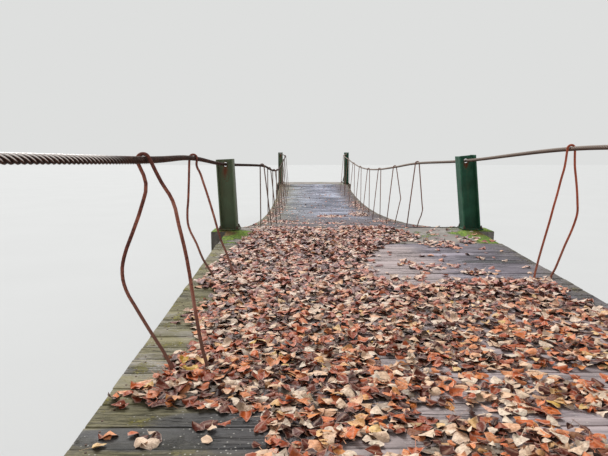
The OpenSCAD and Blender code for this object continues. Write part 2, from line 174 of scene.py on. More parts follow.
class Tree:
    """A tree of nodes, drawn by a list of calls. node() adds any kind of node."""

    def __init__(self, tree):
        self.tree = tree

    def feed(self, node, values):
        """Links or sets the inputs of a node."""
        for name, value in values.items():
            if isinstance(value, Socket):
                self.tree.links.new(value.link, node.inputs[name])
            else:
                node.inputs[name].default_value = value

    def node(self, kind, values=None, out=0, stops=None, **settings):
        made = self.tree.nodes.new(kind)
        for name, value in settings.items():
            setattr(made, name, value)
        if stops:
            ramp = made.color_ramp.elements
            while len(ramp) < len(stops):
                ramp.new(1)
            for element, (position, *colour) in zip(ramp, stops):
                element.position = position
                element.color = paint(colour)
        self.feed(made, values or {})
        return Socket(self, made.outputs[out]) if len(made.outputs) else None

    def place(self):
        """The point on the object in metres."""
        return self.node("ShaderNodeTexCoord", out="Object")

    def facing_up(self):
        """1 on a surface that faces the sky, -1 on one that faces the ground."""
        return self.node("ShaderNodeNewGeometry", out="Normal").axis("Z")

    def mark(self, name):
        """A number that is kept on the mesh."""
        return self.node("ShaderNodeAttribute", out="Fac", attribute_name=name)

    def mix(self, factor, under, over, blend="MIX"):
        values = {0: factor, 6: paint(under), 7: paint(over)}
        return self.node("ShaderNodeMix", values, out=2, data_type="RGBA", blend_type=blend)

    def coats(self, colour, *coats):
        """Lays coats over a colour one by one. Each is how well it covers, then its colour."""
        for cover, over in coats:
            colour = self.mix(cover, colour, over)
        return colour

    def bump(self, height, distance, strength=1):
        values = {"Height": height, "Distance": distance, "Strength": strength}
        return self.node("ShaderNodeBump", values)


def finish(name, draw, **settings):
    """A material. draw takes its tree and returns what goes in its shader's sockets."""
    material = bpy.data.materials.new(name)
    material.use_nodes = True
    tree = Tree(material.node_tree)
    tree.feed(material.node_tree.nodes["Principled BSDF"], draw(tree, **settings))
    return material


STUDIO_PALE = (222, 223, 222)
STUDIO_WIDE = 300
SKY_LIGHT = 0.38
LAMP_STRENGTH = 2.9
LAMP_SOFTNESS = math.radians(30)
LAMP_TURN = (math.radians(-40), math.radians(-20), 0)


def studio_floor(tree):
    wear = tree.place().noise(0.3, detail=2)
    return {"Base Color": tree.mix(wear, (214, 215, 214), (220, 221, 220)), "Roughness": 0.9}


bpy.ops.mesh.primitive_plane_add(size=STUDIO_WIDE, location=(0, 0, 0))
floor = bpy.context.object
floor.name = "studio_floor"
floor.data.materials.append(finish("studio_floor", studio_floor))

world = bpy.data.worlds.new("studio")
bpy.context.scene.world = world
world.use_nodes = True
world.node_tree.nodes.clear()
sky = Tree(world.node_tree)
ray = "ShaderNodeLightPath"
seen = sky.node(ray, out="Is Camera Ray").either(sky.node(ray, out="Is Glossy Ray"))
seen = seen.either(sky.node(ray, out="Is Transmission Ray"))
lit = sky.node("ShaderNodeBackground", {"Color": (1, 1, 1, 1), "Strength": SKY_LIGHT})
surround = sky.node("ShaderNodeBackground", {"Color": paint(STUDIO_PALE), "Strength": 1})
shown = sky.node("ShaderNodeMixShader", {0: seen, 1: lit, 2: surround})
sky.node("ShaderNodeOutputWorld", {0: shown})

bpy.ops.object.light_add(type="SUN", rotation=LAMP_TURN)
lamp = bpy.context.object
lamp.data.energy = LAMP_STRENGTH
lamp.data.angle = LAMP_SOFTNESS
bpy.context.scene.view_settings.view_transform = "Standard"


# Abutments and pier: rough masses of cast concrete that carry the ends of both spans. They
# stand in damp shade, so moss grows on their tops and dark algae runs down their sides.
def pick(*pieces):
    """Selects these pieces and no others; the first is the active one."""
    bpy.ops.object.select_all(action="DESELECT")
    for piece in pieces:
        piece.select_set(True)
    bpy.context.view_layer.objects.active = pieces[0]


def shaped(piece, kind, **settings):
    """Puts a modifier on a piece and applies it."""
    pick(piece)
    modifier = piece.modifiers.new(kind.lower(), kind)
    for name, value in settings.items():
        setattr(modifier, name, value)
    bpy.ops.object.modifier_apply(modifier=modifier.name)


@contextmanager
def edit_mode(piece, wanted=None):
    """Edit mode, with all of a piece selected or only the edges whose two ends pass a test."""
    pick(piece)
    bpy.ops.object.mode_set(mode="EDIT")
    if wanted:
        bpy.ops.mesh.select_mode(type="EDGE")
        bpy.ops.mesh.select_all(action="DESELECT")
        bpy.ops.object.mode_set(mode="OBJECT")
        for edge in piece.data.edges:
            edge.select = wanted(*(piece.data.vertices[end].co for end in edge.vertices))
        bpy.ops.object.mode_set(mode="EDIT")
    else:
        bpy.ops.mesh.select_all(action="SELECT")
    yield
    bpy.ops.object.mode_set(mode="OBJECT")


def solid_of(node, name):
    """A copy of a CAD node's solid to work on: its triangles welded into plain faces."""
    piece = frame["nodes"][node].copy()
    piece.data = piece.data.copy()
    piece.name = name
    piece.parent = None
    del piece["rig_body"]
    del piece["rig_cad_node"]
    bpy.context.collection.objects.link(piece)
    piece.data.materials.clear()
    with edit_mode(piece):
        bpy.ops.mesh.remove_doubles(threshold=0.00005)
        bpy.ops.mesh.dissolve_limited(angle_limit=math.radians(0.5))
    return piece


def hand_in(piece, material, slot=None, *nodes):
    """Gives a finished piece its material and lets it stand for CAD nodes; slot is not used."""
    piece.data.materials.clear()
    piece.data.materials.append(material)
    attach(piece, "root")
    if nodes:
        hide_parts(*nodes)


def smooth(piece, sharp):
    """Shades a piece as smooth, all but its edges of more than so many degrees."""
    pick(piece)
    bpy.ops.object.shade_smooth_by_angle(angle=math.radians(sharp))


def soft_edges(piece, width, segments=2, sharp=30):
    """Rounds a piece's edges a little and shades what is smooth as smooth."""
    rounding = {"width": width, "segments": segments, "angle_limit": math.radians(sharp)}
    shaped(piece, "BEVEL", limit_method="ANGLE", **rounding)
    smooth(piece, sharp)


def uneven(piece, size, depth, way="NORMAL", above=1.0):
    """Wears a surface in and out by a cloudy pattern; above 1 it is only worn inwards."""
    clouds = bpy.data.textures.new("unevenness", "CLOUDS")
    clouds.noise_scale = size
    clouds.noise_depth = 3
    reach = {"direction": way, "mid_level": above, "strength": depth}
    shaped(piece, "DISPLACE", texture=clouds, texture_coords="LOCAL", **reach)


def cut_in_grid(piece, pitch):
    """Cuts a piece's faces at every pitch along each axis, so that they can be worn."""
    low, high = (Vector(corner) for corner in (piece.bound_box[0], piece.bound_box[6]))
    with edit_mode(piece):
        for axis in range(3):
            cuts = max(1, round((high[axis] - low[axis]) / pitch))
            for cut in range(1, cuts):
                at = low.copy()
                at[axis] += (high[axis] - low[axis]) * cut / cuts
                way = [0, 0, 0]
                way[axis] = 1
                bpy.ops.mesh.select_all(action="SELECT")
                bpy.ops.mesh.bisect(plane_co=at, plane_no=way)


def mark(piece, name, values):
    """Keeps a number for each point of a mesh, for its material to read."""
    kept = piece.data.attributes.new(name, "FLOAT", "POINT")
    values = np.broadcast_to(np.float32(values), len(piece.data.vertices))
    kept.data.foreach_set("value", values)


SIDES = ("left", "right")
POSTS = [(where, side) for where in ("near", "pier", "far") for side in SIDES]
# The width of the shuttering boards, whose seams are left on the cast sides
SHUTTER_BOARD = 0.2
# Water stands this far from a post, on its near side, and the concrete is damp so far about it
DRIP_OUT = 0.2
DAMP_REACH = 0.55


def beside_posts(piece):
    """Marks the concrete on the near side of each post's foot, where water drips and stands."""
    boxes = [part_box(f"{where}_post_{side}") for where, side in POSTS]
    feet = [((low.x + high.x) / 2, low.y - DRIP_OUT) for low, high in boxes]
    damp = []
    for point in piece.data.vertices:
        reach = min(math.hypot(point.co.x - x, (point.co.y - y) * 0.6) for x, y in feet)
        damp.append(max(0, 1 - reach / DAMP_REACH))
    mark(piece, "damp", damp)
    crown = max(point.co.z for point in piece.data.vertices)
    mark(piece, "below", [crown - point.co.z for point in piece.data.vertices])


def mossy_concrete(tree):
    here = tree.place()
    level = here.axis("Z")
    grain = here.noise(60, detail=5, rough=0.7)
    blotch = here.noise(2.2, detail=8, rough=0.62)
    broad = here.noise(0.7)
    runs = here.noise((4.2, 4.2, 0.3), detail=8, rough=0.68)
    lime = here.noise((6.5, 6.5, 0.45), detail=5, rough=0.6)
    spread = here.moved(1.0, (7.3, 2.1, 0)).noise(1.7, detail=9, rough=0.66)
    tuft = here.noise(36, detail=7, rough=0.78)
    top = tree.facing_up().rise(0.35, 0.8)
    side = 1 - top
    below = tree.mark("below")
    damp = tree.mark("damp")
    shutter = level * (1 / SHUTTER_BOARD) + (broad - 0.5) * 0.12
    own = tree.node("ShaderNodeCombineXYZ", {0: shutter.maths("FLOOR") * 7.31})
    shade = own.noise(1, detail=0)
    seam = abs(shutter.maths("FRACT") - 0.5).rise(0.46, 0.495) * side
    washed = (runs + (1 - below.rise(0.0, 1.3)) * 0.16 + (broad - 0.5) * 0.3).rise(0.54, 0.7)
    wet_foot = (level * -1 + blotch * 0.8).rise(-0.1, 0.32) * side
    moss = (spread + damp * 0.34 + tuft * 0.24 - 0.12).rise(0.6, 0.66) * top
    debris = (damp + spread * 0.5).rise(0.96, 1.08) * top
    bare = (0.34, 116, 110, 105), (0.5, 160, 152, 145), (0.66, 196, 188, 181)
    green = (0.38, 38, 60, 8), (0.5, 106, 144, 22), (0.6, 176, 200, 60)
    height = grain * 0.4 + blotch * 0.6 - seam * 0.35 + moss * (tuft + 0.5) * 1.4
    return {
        "Base Color": tree.coats(
            (blotch * 0.6 + broad * 0.4).ramp(*bare),
            (grain.rise(0.62, 0.3) * 0.5, (92, 86, 78)),
            (shade.rise(0.35, 0.65) * side * 0.22, (104, 98, 92)),
            (seam * 0.45, (84, 80, 72)),
            (washed * side * 0.75, (62, 62, 50)),
            (lime.rise(0.62, 0.74) * side * 0.5, (212, 208, 200)),
            (wet_foot * 0.7, (58, 62, 42)),
            (moss * 0.94, tuft.ramp(*green)),
            (debris * 0.85, tuft.ramp((0.4, 62, 38, 24), (0.6, 158, 106, 66))),
        ),
        "Roughness": 0.85 + grain * 0.1,
        "Normal": tree.bump(height, distance=0.014, strength=0.85),
    }


concrete = finish("mossy_concrete", mossy_concrete)
for mass in ("near_abutment", "pier_shaft", "pier_head", "far_abutment"):
    block = solid_of(mass, mass + "_concrete")
    soft_edges(block, width=0.018)
    cut_in_grid(block, pitch=0.22)
    uneven(block, size=0.35, depth=0.016)
    beside_posts(block)
    hand_in(block, concrete, "concrete", mass)


# Timbers under the deck: sawn sleepers on the ledges, double crossbeams that the hangers hold
# up, and five rows of stringers notched over them. They are dark with damp and open at the grain.
def dark_timber(tree):
    here = tree.place()
    lengthwise = tree.mark("along")
    wide = here.noise((2.2, 34, 34), detail=6, rough=0.62)
    long = here.noise((34, 2.2, 34), detail=6, rough=0.62)
    grain = wide * (1 - lengthwise) + long * lengthwise
    blotch = here.noise(1.8, detail=6, rough=0.6)
    algae = here.noise(5, detail=7, rough=0.7).rise(0.56, 0.7)
    return {
        "Base Color": tree.coats(
            grain.ramp((0.3, 52, 43, 36), (0.5, 88, 76, 65), (0.72, 120, 108, 95)),
            (blotch.rise(0.45, 0.75) * 0.6, (44, 40, 32)),
            (algae * 0.5, (84, 92, 52)),
        ),
        "Roughness": 0.8 + blotch * 0.12,
        "Normal": tree.bump(grain, distance=0.006, strength=0.7),
    }


timber = finish("dark_timber", dark_timber)
STRINGERS = ("near_stringers", "main_stringers")
for beams in ("bearing_sleepers", "near_crossbeams", "main_crossbeams", *STRINGERS):
    frame_timber = solid_of(beams, beams + "_sawn")
    mark(frame_timber, "along", beams in STRINGERS)
    soft_edges(frame_timber, width=0.005, segments=1)
    hand_in(frame_timber, timber, "beams", beams)


# Deck boards: sawn planks 50 mm thick laid across the stringers with narrow gaps, weathered to
# silver grey, worn round at the edges, split along the grain and green with lichen at the sides.
BOARD_PITCH = 0.19
BOARD_GAP = 0.006
BOARD_EDGE = 0.005
BOARD_THICK = 0.05
END_PLAY = 0.006
BOARD_STEP = 0.003
# How far the boards beside a crossbeam's slot reach over it
OVER_SLOT = 0.011
# How far a joint strays, as a share of a board, and how much boards roll and lie askew
JOINT_STRAYS = 0.12
BOARD_ROLL = 0.006
BOARD_SKEW = 0.0006
# Stations of the joints between boards that are seen best
SEEN_JOINTS = (-5.7, -5.51, -5.28, -5.1, -4.7, -4.5, -4.31, -4.15, -3.95, -3.75)
STRINGER_ROWS = 5
STRINGER_WIDE = 0.08
NAIL_RADIUS = 0.0065
NAIL_HIGH = 0.004
# The two nails over a stringer stand this far either side of its middle, across and along
NAIL_ACROSS = 0.012
NAIL_ALONG = 0.055


def deck_bays(node):
    """The top line of each bay of a deck, as two points (y, z), from its CAD slabs."""
    tops = {}
    for corner in frame["nodes"][node].data.vertices:
        y = round(corner.co.y, 4)
        tops[y] = max(tops.get(y, 0), corner.co.z)
    ends = sorted(tops.items())
    return list(zip(ends[0::2], ends[1::2]))


def board_joints(y0, y1):
    """Where the boards of one bay meet. Where no joint was seen their widths vary by chance."""
    seen = [PIER_Y + station for station in SEEN_JOINTS if y0 < PIER_Y + station < y1]
    knots = [y0, *seen, y1]
    joints = [y0]
    for a, b in zip(knots, knots[1:]):
        count = max(1, round((b - a) / BOARD_PITCH))
        for number in range(1, count):
            stray = chance.uniform(-JOINT_STRAYS, JOINT_STRAYS)
            joints.append(a + (b - a) * (number + stray) / count)
        joints.append(b)
    return joints


def applied(piece, place=None, size=None):
    """Gives a piece its place and size, then writes them into its mesh."""
    piece.location = place or piece.location
    piece.scale = size or piece.scale
    pick(piece)
    bpy.ops.object.transform_apply(location=True, rotation=True, scale=True)


def board_blank(length, width, cuts):
    """One board with worn edges, its top in the middle of its place, cut across to be warped."""
    bpy.ops.mesh.primitive_cube_add(size=1)
    blank = bpy.context.object
    applied(blank, (0, 0, -BOARD_THICK / 2), (length, width, BOARD_THICK))

    def lengthwise(a, b):
        return abs(a.x - b.x) > length / 2

    def over_the_end(a, b):
        return abs(a.y - b.y) > width / 2 and a.z > -0.001

    with edit_mode(blank, lengthwise):
        bpy.ops.mesh.bevel(offset=BOARD_EDGE, segments=2, affect="EDGES")
    with edit_mode(blank, lengthwise):
        bpy.ops.mesh.subdivide(number_cuts=cuts)
    with edit_mode(blank, over_the_end):
        bpy.ops.mesh.subdivide(number_cuts=2)
    mark(blank, "across", [2 * point.co.y / width for point in blank.data.vertices])
    return blank


def another(master, place=(0, 0, 0), turn=(0, 0, 0), scale=(1, 1, 1)):
    """A copy of a piece with a mesh of its own, moved, turned and scaled."""
    piece = master.copy()
    piece.data = master.data.copy()
    piece.location = place
    piece.rotation_euler = turn
    piece.scale = scale
    bpy.context.collection.objects.link(piece)
    return piece


def joined(name, pieces):
    """Several pieces made one, with its place in its mesh."""
    pick(*pieces)
    bpy.ops.object.join()
    whole = bpy.context.object
    whole.name = name
    applied(whole)
    return whole


def removed(piece):
    bpy.data.objects.remove(piece)


def upright(radius, height, centre, sides):
    """A short upright bar, round or with few sides."""
    size = {"vertices": sides, "radius": radius, "depth": height}
    bpy.ops.mesh.primitive_cylinder_add(location=centre, **size)
    return bpy.context.object


def weathered_boards(tree, tones, dust, damp_share, lichen_reach):
    """tones run from the dark of the grain to its silver; dust is the soil and crumbled leaf on
    it; lichen starts so far from the middle."""
    dark, middle, light, pale = tones
    tone = tree.mark("tone")
    here = tree.place()
    x = here.axis("X")
    left = x * -1
    own = here.moved(tone * 90, (1, 0.37, 0.2))
    grit = own.noise((60, 210, 60), rough=0.7)
    fibre = own.noise((4, 170, 40), detail=6, rough=0.72)
    streak = own.noise((1.1, 30, 10), detail=7, rough=0.66)
    band = own.noise((0.9, 9, 5), detail=5, rough=0.6)
    cloud = here.noise((1.5, 2.7, 1.5), detail=8, rough=0.66)
    sweep = here.noise((0.8, 2.2, 1), detail=7, rough=0.76)
    trodden = here.noise((0.9, 0.8, 1), detail=8, rough=0.72)
    growth = here.noise(5, detail=9, rough=0.72)
    grain = band * 0.34 + streak * 0.3 + fibre * 0.2 + grit * 0.16
    standing = (tree.mark("damp") + (cloud - 0.5) * 1.2 + (streak - 0.5)).rise(0.2, 0.6)
    wet = ((cloud * 0.6 + streak * 0.4).rise(0.53, 0.63) * damp_share).either(standing)
    among = tree.mark("soil")
    wet = wet * (1 - among * damp_share)
    soil = (among + (cloud - 0.5) * 1.2 + (streak - 0.5) * 1.4).rise(0.2, 1.0)
    split = 1 - abs(streak - 0.5).rise(0.0, 0.016)
    split = split * own.noise(0.9, detail=2).rise(0.44, 0.56)
    edge = (abs(tree.mark("across")) + (fibre - 0.5) * 0.2 + (cloud - 0.5)).rise(0.9, 1.02)
    side = left.rise(lichen_reach, 1.8).either(x.rise(1.5, 1.85) * 0.6)
    film = side * here.noise(1.7, detail=6, rough=0.6).rise(0.34, 0.56)
    lichen = (growth * 0.75 + grit * 0.25).rise(0.54, 0.6) * side
    speck = tree.node("ShaderNodeTexVoronoi", {"Vector": here, "Scale": 36.0}, feature="F1")
    speck = speck.rise(0.2, 0.12) * here.noise(5, detail=2).rise(0.44, 0.54)
    colour = grain.ramp((0.4, *dark), (0.465, *middle), (0.53, *light), (0.6, *pale))
    shade = tone.ramp((0, 206, 206, 208), (0.6, 240, 240, 240), (1, 255, 255, 255))
    colour = tree.mix(1.0, colour, shade, blend="MULTIPLY")
    cast = tree.mix(x.rise(-1.5, 0.4), (150, 140, 84), (146, 130, 148))
    colour = tree.mix(left.rise(0.6, 1.7) * 0.4 + 0.26, colour, cast, blend="COLOR")
    colour = tree.coats(
        colour,
        (sweep.rise(0.5, 0.38) * 0.76, dark),
        (sweep.rise(0.5, 0.64) * 0.6, pale),
        (trodden.rise(0.52, 0.4) * (0.95 - damp_share), dark),
        (trodden.rise(0.54, 0.66) * (0.95 - damp_share), pale),
        (x.rise(0.7, 1.7) * damp_share * 0.75, dark),
        (soil * (0.4 + sweep * 0.8), dust),
        # Boards under the litter are darkened: rotting leaf, and painted shade from the leaves on
        # them
        (tree.mark("rotten") * 0.35, (84, 70, 66)),
        (split * 0.85, (34, 31, 30)),
        (edge * 0.35, (48, 46, 42)),
        (film * 0.6, tree.mix(grit, (96, 90, 56), (160, 154, 108))),
        (lichen * 0.7, grit.ramp((0.4, 110, 108, 44), (0.6, 190, 178, 84))),
        (wet * 0.87, tree.mix(grit * 0.6 + streak * 0.4, (12, 12, 13), (94, 93, 95))),
        (speck * 0.75, (214, 210, 200)),
    )
    height = streak * 0.6 + fibre * 0.5 + grit * 0.4 - split * 1.6 + lichen * 0.5
    return {
        "Base Color": colour,
        "Roughness": 0.74 - wet * 0.3 + lichen * 0.15,
        "Specular IOR Level": 0.25,
        "Normal": tree.bump(height, distance=0.009, strength=0.9),
    }


def iron_nails(tree):
    rust = tree.place().noise(90, detail=3)
    return {
        "Base Color": rust.ramp((0.3, 66, 54, 48), (0.7, 120, 92, 74)),
        "Metallic": 0.3,
        "Roughness": 0.75,
        "Normal": tree.bump(rust, distance=0.001),
    }


deck_low, deck_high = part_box("near_deck")
deck_width = deck_high.x - deck_low.x
stringer_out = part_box("near_stringers")[1].x - STRINGER_WIDE / 2
nail_rust = finish("rusty_nails", iron_nails)


def nail_row(facets):
    """The nails of one board: two over each stringer, driven a little proud."""
    nails = []
    for row in range(STRINGER_ROWS):
        x = stringer_out * (2 * row / (STRINGER_ROWS - 1) - 1)
        for way in (-1, 1):
            spot = (x + NAIL_ACROSS * way, NAIL_ALONG * way, 0)
            nails.append(upright(NAIL_RADIUS, NAIL_HIGH, spot, facets))
    return joined("nail_row", nails)


# The places on the decks that follow each give a middle (x, station), half width and half length
# Standing damp on the near deck
DAMP_PATCHES = (
    (-1.5, -5.61, 0.62, 0.14), (-0.95, -5.54, 0.65, 0.25), (-1.2, -5.47, 0.45, 0.14),
    (0.15, -5.4, 0.3, 0.12), (-0.1, -4.72, 0.35, 0.1), (1.0, -4.3, 0.5, 0.12),
    (1.3, -2.1, 0.5, 0.1),
)
# Soil on the bare boards beside the litter
SOILED_PATCH = (0.2, -2.1, 0.8, 1.6)
# Bare places within the litter of leaves
BARE_SPOTS = (
    (-0.19, -4.75, 0.18, 0.11), (0.0, -5.21, 0.16, 0.09), (0.05, -5.37, 0.3, 0.1),
    (0.4, -4.94, 0.16, 0.08), (1.12, -4.32, 0.28, 0.08), (-0.31, -5.67, 0.16, 0.1),
    (0.89, -4.93, 0.26, 0.08), (0.72, -3.96, 0.12, 0.1), (0.08, -4.84, 0.16, 0.06),
    (-0.44, -5.72, 0.26, 0.08), (0.65, -5.41, 0.26, 0.09), (-0.26, -4.05, 0.12, 0.1),
    (0.38, -2.93, 0.4, 0.16), (0.05, -3.3, 0.14, 0.1),
)
# Little drifts outside it, with how thick they lie
LITTLE_DRIFTS = (
    (0.53, -2.41, 0.34, 0.36, 0.36), (1.04, -2.6, 0.17, 0.18, 0.7), (1.11, -1.27, 0.16, 0.27, 0.6),
    (0.92, -1.1, 0.14, 0.3, 0.6), (0.89, -2.3, 0.1, 0.1, 0.5), (1.36, -1.07, 0.1, 0.13, 0.6),
    (0.38, -2.78, 0.18, 0.16, 0.6), (-1.68, -5.6, 0.14, 0.07, 0.5), (-1.5, -5.61, 0.14, 0.05, 0.5),
    (-1.21, -5.54, 0.1, 0.07, 0.4), (-1.05, -5.36, 0.1, 0.1, 0.7), (1.5, -0.75, 0.3, 0.35, 0.2),
    (0.17, 8.6, 0.6, 0.6, 0.4), (1.15, 9.6, 0.4, 1.6, 0.26), (1.5, 13.5, 0.4, 3.4, 0.14),
    (-1.35, 5.8, 0.6, 0.5, 0.4), (1.42, 6.1, 0.35, 0.35, 0.5), (-0.2, 5.0, 1.6, 0.5, 0.12),
    (-1.6, 12.0, 0.4, 6.0, 0.12),
)
# Where the litter ends on either side, as (station, x), from behind the camera to the pier
LEFT_RIM = (
    (-8.6, -1.2), (-5.75, -1.0), (-5.36, -1.02), (-5.3, -1.74), (-5.2, -1.78), (-5.05, -1.72),
    (-4.94, -1.6), (-4.86, -1.56), (-4.68, -1.64), (-4.6, -1.54), (-4.14, -1.52), (-3.97, -1.68),
    (-3.6, -1.62), (-3.29, -1.54), (-3.0, -1.76), (-2.1, -1.7), (-1.05, -1.56), (0, -1.46),
)
RIGHT_RIM = (
    (-8.6, 1.5), (-5.0, 1.74), (-3.7, 1.76), (-3.49, 1.6), (-3.03, 1.68), (-2.86, 1.66),
    (-2.84, 0.9), (-2.82, 0.02), (-2.63, 0.01), (-2.41, -0.06), (-1.96, 0.01), (-1.55, 0.18),
    (-1.06, 0.44), (-0.88, 0.78), (-0.57, 0.92), (-0.24, 0.75), (0, 0.6),
)


def patch(x, y, centre_x, centre_y, wide, long):
    """1 in the middle of a long round patch, falling to 0 at its rim."""
    out = np.hypot((x - centre_x) / wide, (y - centre_y) / long)
    return np.clip(1.6 * (1 - out), 0, 1)


def between_rims(x, station, fade):
    """1 well between the two rims of the litter, 0 outside them, with a fade."""
    in_left = (x - np.interp(station, *zip(*LEFT_RIM))) / fade
    in_right = (np.interp(station, *zip(*RIGHT_RIM)) - x) / fade
    return np.clip(np.minimum(in_left, in_right), 0, 1)


def drifts(x, station, seed):
    """Cloudy numbers about 0, in patches that are longer across the bridge than along it."""
    draw = random.Random(seed)
    sum_of_waves = 0 * x
    for _ in range(12):
        across, along = draw.uniform(1.5, 6), draw.uniform(5, 20)
        sum_of_waves += np.sin(across * x + along * station + draw.uniform(0, math.tau))
    return sum_of_waves / 3.5


def litter_cover(x, station):
    """How thickly leaves lie at a place on either deck, from 0 to 1."""
    thick = between_rims(x, station, fade=0.07)
    ragged = 0.2 * drifts(x, 0.2 * station, 5)
    thick = thick * np.clip((0.28 + ragged - station) / 0.3, 0, 1)
    thick = thick * np.clip((station + 9.05 + ragged) / 0.4, 0, 1)
    thin_right = np.clip((x + 0.4) / 1.2, 0, 1) * np.clip((-3.3 - station) / 1.2, 0, 1)
    thick = thick * (1 - thin_right * np.clip(0.4 + 0.5 * drifts(x, station, 8), 0, 0.9))
    for spot in BARE_SPOTS:
        thick = thick * (1 - patch(x, station, *spot))
    for *spot, share in LITTLE_DRIFTS:
        thick = np.maximum(thick, share * patch(x, station, *spot))
    few = np.where((station > -3) & (station < 0) & (x > 0), 0.035, 0.009)
    return np.maximum(thick, few)


def places(piece):
    """Where the points of a mesh are: their x and their stations."""
    x, y = (np.array([point.co[axis] for point in piece.data.vertices]) for axis in (0, 1))
    return x, y - PIER_Y


def soiled(deck):
    """Marks where a deck is damp, where it is brown with soil, and where it lies under leaves,
    darkened for rot and as painted shade.
    """
    x, station = places(deck)
    damp = 0 * x
    for spot in DAMP_PATCHES:
        damp = np.maximum(damp, patch(x, station, *spot))
    beside = np.clip((abs(x + 0.1) - 0.8) / 0.8, 0, 1)
    soil = np.maximum(beside, 0.85 * np.clip((10.5 - station) / 4, 0, 1)) * (station > 0)
    under_litter = 0.8 * between_rims(x, station, fade=0.3) * (station < 0)
    soil = np.maximum(soil, under_litter)
    soil = np.maximum(soil, 1.1 * patch(x, station, *SOILED_PATCH))
    mark(deck, "damp", damp)
    mark(deck, "soil", soil)
    # Under the litter: rot, and painted shade from the leaves
    mark(deck, "rotten", litter_cover(x, station) ** 2)


def lay_deck(node, material, cuts, facets):
    """Lays the boards of one span on their line and nails them down."""
    boards = []
    nails = []
    row = nail_row(facets)
    blank_width = BOARD_PITCH - BOARD_GAP
    blank = board_blank(deck_width - END_PLAY, blank_width, cuts)
    bays = deck_bays(node)
    for (y0, z0), (y1, z1) in bays:
        slope = math.atan2(z1 - z0, y1 - y0)
        joints = board_joints(y0, y1)
        if y0 > bays[0][0][0]:
            joints[0] -= OVER_SLOT
        if y1 < bays[-1][1][0]:
            joints[-1] += OVER_SLOT
        for a, b in zip(joints, joints[1:]):
            lift = chance.uniform(-BOARD_STEP, 0)
            spot = (
                chance.uniform(-END_PLAY, END_PLAY) / 2,
                (a + b) / 2,
                float(np.interp((a + b) / 2, (y0, y1), (z0, z1))) + lift,
            )
            turn = (slope + chance.gauss(0, BOARD_ROLL), chance.gauss(0, BOARD_SKEW), 0)
            width = (b - a) / math.cos(slope) - BOARD_GAP
            board = another(blank, spot, turn, (1, width / blank_width, 1))
            mark(board, "tone", chance.random())
            boards.append(board)
            nails.append(another(row, spot, turn))
    removed(blank)
    removed(row)
    deck = joined(node + "_boards", boards)
    uneven(deck, size=0.3, depth=0.004, way="Z", above=0.6)
    uneven(deck, size=0.12, depth=0.005, way="Y", above=0.5)
    soiled(deck)
    smooth(deck, 40)
    hand_in(deck, material, "deck_boards", node)
    hand_in(joined(node + "_nails", nails), nail_rust)
    return deck


near_wood = finish(
    "near_boards",
    weathered_boards,
    tones=((80, 76, 82), (138, 130, 137), (184, 176, 184), (222, 215, 224)),
    dust=(206, 188, 184),
    damp_share=0.8,
    lichen_reach=0.9,
)
# The main span's pale bluish tones are partly the boards' silver grey and partly painted sky
# sheen, where the far deck catches the sky at a grazing angle
main_wood = finish(
    "main_boards",
    weathered_boards,
    tones=((80, 86, 100), (134, 142, 160), (176, 184, 204), (214, 221, 238)),
    dust=(108, 92, 88),
    damp_share=0.3,
    lichen_reach=1.5,
)
near_boards = lay_deck("near_deck", near_wood, cuts=40, facets=8)
main_boards = lay_deck("main_deck", main_wood, cuts=24, facets=6)


# Posts: rolled H-sections with a hole through the web for the rope, welded to a base plate and
# held by four anchor bolts. The green paint is chalky, chipped at the edges and stained with rust.
def green_paint(tree, faded, rust_share=0):
    here = tree.place()
    blotch = here.noise(5, detail=7, rough=0.6)
    runs = here.noise((26, 26, 1.6), detail=6, rough=0.62)
    pits = here.noise(75, detail=5, rough=0.65)
    chalk = runs.rise(0.5, 0.75)
    bleed = tree.mark("rust")
    stain = (bleed + runs * 0.7).rise(0.75, 1.25)
    chips = (pits + blotch * 0.35 + bleed * 0.22).rise(0.86 - rust_share, 0.9 - rust_share)
    return {
        "Base Color": tree.coats(
            blotch.ramp((0.3, 32, 76, 60), (0.55, 48, 104, 82), (0.8, 70, 126, 102)),
            (chalk * 0.2 + faded, (134, 132, 104)),
            (stain * 0.85, (140, 56, 40)),
            (chips, pits.ramp((0.3, 74, 38, 28), (0.7, 150, 84, 48))),
        ),
        "Metallic": chips * 0.15,
        "Roughness": 0.5 + chalk * 0.2 + chips * 0.3 + stain * 0.1,
        "Specular IOR Level": 0.15,
        "Normal": tree.bump(pits * 0.3 - chips * 0.8, distance=0.002),
    }


FOOT_RUST_HIGH = 0.16


def rust_below(piece, centre, wide, long):
    """Marks how much rust has run down from a point, and from the foot of a piece up."""
    run = []
    foot = min(point.co.z for point in piece.data.vertices)
    for point in piece.data.vertices:
        out = math.hypot(point.co.x - centre.x, point.co.y - centre.y) / wide
        drop = (centre.z - point.co.z) / long
        from_hole = max(0, 1 - out) * max(0, 1 - abs(drop - 0.3))
        from_foot = max(0, 1 - (point.co.z - foot) / FOOT_RUST_HIGH)
        run.append(max(from_hole, 0.5 * from_foot))
    mark(piece, "rust", run)


def bolt(name, across, height, stud):
    """A hexagon nut on its washer with the stud's end through it, standing on z = 0."""
    washer_high = 0.12 * across
    washer = upright(across * 0.95, washer_high, (0, 0, washer_high / 2), 20)
    nut = upright(across / math.sqrt(3), height, (0, 0, washer_high + height / 2), 6)
    soft_edges(nut, width=0.05 * across)
    end = upright(across * 0.32, stud, (0, 0, stud / 2), 14)
    soft_edges(end, width=0.04 * across)
    return joined(name, [washer, nut, end])


post_coats = {
    side: finish("green_post_paint_" + side, green_paint, faded=faded)
    for side, faded in (("left", 0.55), ("right", 0.05))
}
iron = finish("rusty_iron", iron_nails)
PLATE_HALF = 0.15
PLATE_TOP = 0.016
BOLT_IN = 0.026


